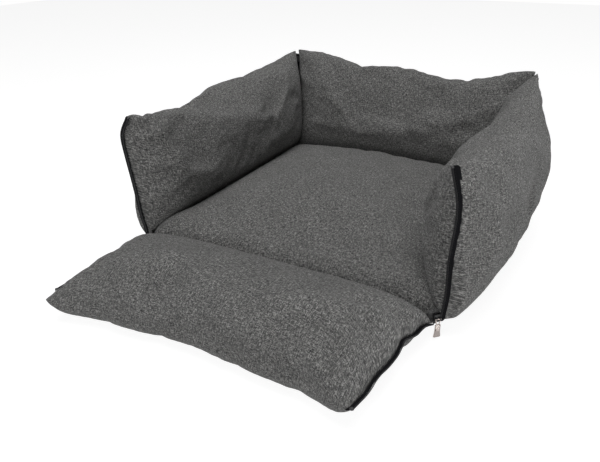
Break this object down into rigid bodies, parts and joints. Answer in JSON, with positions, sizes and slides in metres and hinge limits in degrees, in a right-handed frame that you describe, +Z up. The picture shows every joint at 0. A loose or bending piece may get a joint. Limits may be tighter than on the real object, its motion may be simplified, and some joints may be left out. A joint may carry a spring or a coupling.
{
  "type": "dog bed",
  "caption": "Convertible padded dog bed with a square base cushion and padded walls joined by corner zips, its front wall folded down as a step.",
  "frame": {"origin": "on the floor, at the middle of the base cushion's flat underside", "axes": "+X to the right-hand wall seen from the open front, +Y to the back wall, +Z up"},
  "size_m": [0.684, 0.8511, 0.2699],
  "materials": {
    "cover_cloth": "coarse plain-woven heather grey upholstery cloth",
    "fibre_filling": "loose white polyester fibre",
    "fold_seam_cloth": "rolled and stitched seam allowance",
    "zip_tape": "black woven polyester tape",
    "zip_coil": "black nylon coil, slightly shiny",
    "zip_stop_metal": "black lacquered clamp",
    "slider_metal": "black lacquered zinc",
    "pull_tab_metal": "nickel plated zinc"
  },
  "bodies": {
    "base": {"base_top_cover": "cover_cloth", "base_bottom_cover": "cover_cloth", "base_filling": "fibre_filling", "front_fold_seam": "fold_seam_cloth", "back_fold_seam": "fold_seam_cloth", "left_fold_seam": "fold_seam_cloth", "right_fold_seam": "fold_seam_cloth", "zip_bottom_stops": "zip_stop_metal"},
    "left_wall": {"left_wall_inner_cover": "cover_cloth", "left_wall_outer_cover": "cover_cloth", "left_wall_filling": "fibre_filling", "left_wall_front_tape": "zip_tape", "left_wall_front_coil": "zip_coil", "left_wall_back_tape": "zip_tape", "left_wall_back_coil": "zip_coil", "left_wall_top_stops": "zip_stop_metal"},
    "right_wall": {"right_wall_inner_cover": "cover_cloth", "right_wall_outer_cover": "cover_cloth", "right_wall_filling": "fibre_filling", "right_wall_front_tape": "zip_tape", "right_wall_front_coil": "zip_coil", "right_wall_back_tape": "zip_tape", "right_wall_back_coil": "zip_coil", "right_wall_top_stops": "zip_stop_metal"},
    "back_wall": {"back_wall_inner_cover": "cover_cloth", "back_wall_outer_cover": "cover_cloth", "back_wall_filling": "fibre_filling", "back_wall_left_tape": "zip_tape", "back_wall_left_coil": "zip_coil", "back_wall_right_tape": "zip_tape", "back_wall_right_coil": "zip_coil", "back_wall_top_stops": "zip_stop_metal"},
    "front_wall": {"front_wall_inner_cover": "cover_cloth", "front_wall_outer_cover": "cover_cloth", "front_wall_filling": "fibre_filling", "front_wall_left_tape": "zip_tape", "front_wall_left_coil": "zip_coil", "front_wall_right_tape": "zip_tape", "front_wall_right_coil": "zip_coil", "front_wall_top_stops": "zip_stop_metal"},
    "front_left_slider": {"front_left_slider": "slider_metal"},
    "front_left_pull_tab": {"front_left_pull_tab": "pull_tab_metal"},
    "front_right_slider": {"front_right_slider": "slider_metal"},
    "front_right_pull_tab": {"front_right_pull_tab": "pull_tab_metal"},
    "back_left_slider": {"back_left_slider": "slider_metal"},
    "back_left_pull_tab": {"back_left_pull_tab": "pull_tab_metal"},
    "back_right_slider": {"back_right_slider": "slider_metal"},
    "back_right_pull_tab": {"back_right_pull_tab": "pull_tab_metal"}
  },
  "joints": [
    {"name": "front_wall_fold", "type": "hinge", "parent": "base", "child": "front_wall", "pos_m": [0, -0.2725, 0.03], "axis": [-1, 0, 0], "range_deg": [0, 90]},
    {"name": "left_wall_fold", "type": "hinge", "parent": "base", "child": "left_wall", "pos_m": [-0.27, 0, 0.03], "axis": [0, -1, 0], "range_deg": [0, 65]},
    {"name": "right_wall_fold", "type": "hinge", "parent": "base", "child": "right_wall", "pos_m": [0.27, 0, 0.03], "axis": [0, 1, 0], "range_deg": [0, 65]},
    {"name": "back_wall_fold", "type": "hinge", "parent": "base", "child": "back_wall", "pos_m": [0, 0.2725, 0.03], "axis": [-1, 0, 0], "range_deg": [0, 60]},
    {"name": "front_left_slider_run", "type": "slide", "parent": "left_wall", "child": "front_left_slider", "axis": [0, -0.025, 0.9997], "range_m": [0, 0.214]},
    {"name": "front_left_tab_swing", "type": "hinge", "parent": "front_left_slider", "child": "front_left_pull_tab", "pos_m": [-0.26824, -0.27094, 0.03774], "axis": [-0.7071, 0.7069, 0.0177], "range_deg": [0, 170]},
    {"name": "front_right_slider_run", "type": "slide", "parent": "right_wall", "child": "front_right_slider", "axis": [0, -0.025, 0.9997], "range_m": [0, 0.214]},
    {"name": "front_right_tab_swing", "type": "hinge", "parent": "front_right_slider", "child": "front_right_pull_tab", "pos_m": [0.26824, -0.27094, 0.03774], "axis": [-0.7071, -0.7069, -0.0177], "range_deg": [0, 170]},
    {"name": "back_left_slider_run", "type": "slide", "parent": "left_wall", "child": "back_left_slider", "axis": [0, -0.0872, -0.9962], "range_m": [0, 0.214]},
    {"name": "back_left_tab_swing", "type": "hinge", "parent": "back_left_slider", "child": "back_left_pull_tab", "pos_m": [-0.26824, 0.29006, 0.25026], "axis": [0.7071, 0.7044, -0.0616], "range_deg": [0, 170]},
    {"name": "back_right_slider_run", "type": "slide", "parent": "right_wall", "child": "back_right_slider", "axis": [0, -0.0872, -0.9962], "range_m": [0, 0.214]},
    {"name": "back_right_tab_swing", "type": "hinge", "parent": "back_right_slider", "child": "back_right_pull_tab", "pos_m": [0.26824, 0.29006, 0.25026], "axis": [0.7071, -0.7044, 0.0616], "range_deg": [0, 170]}
  ]
}
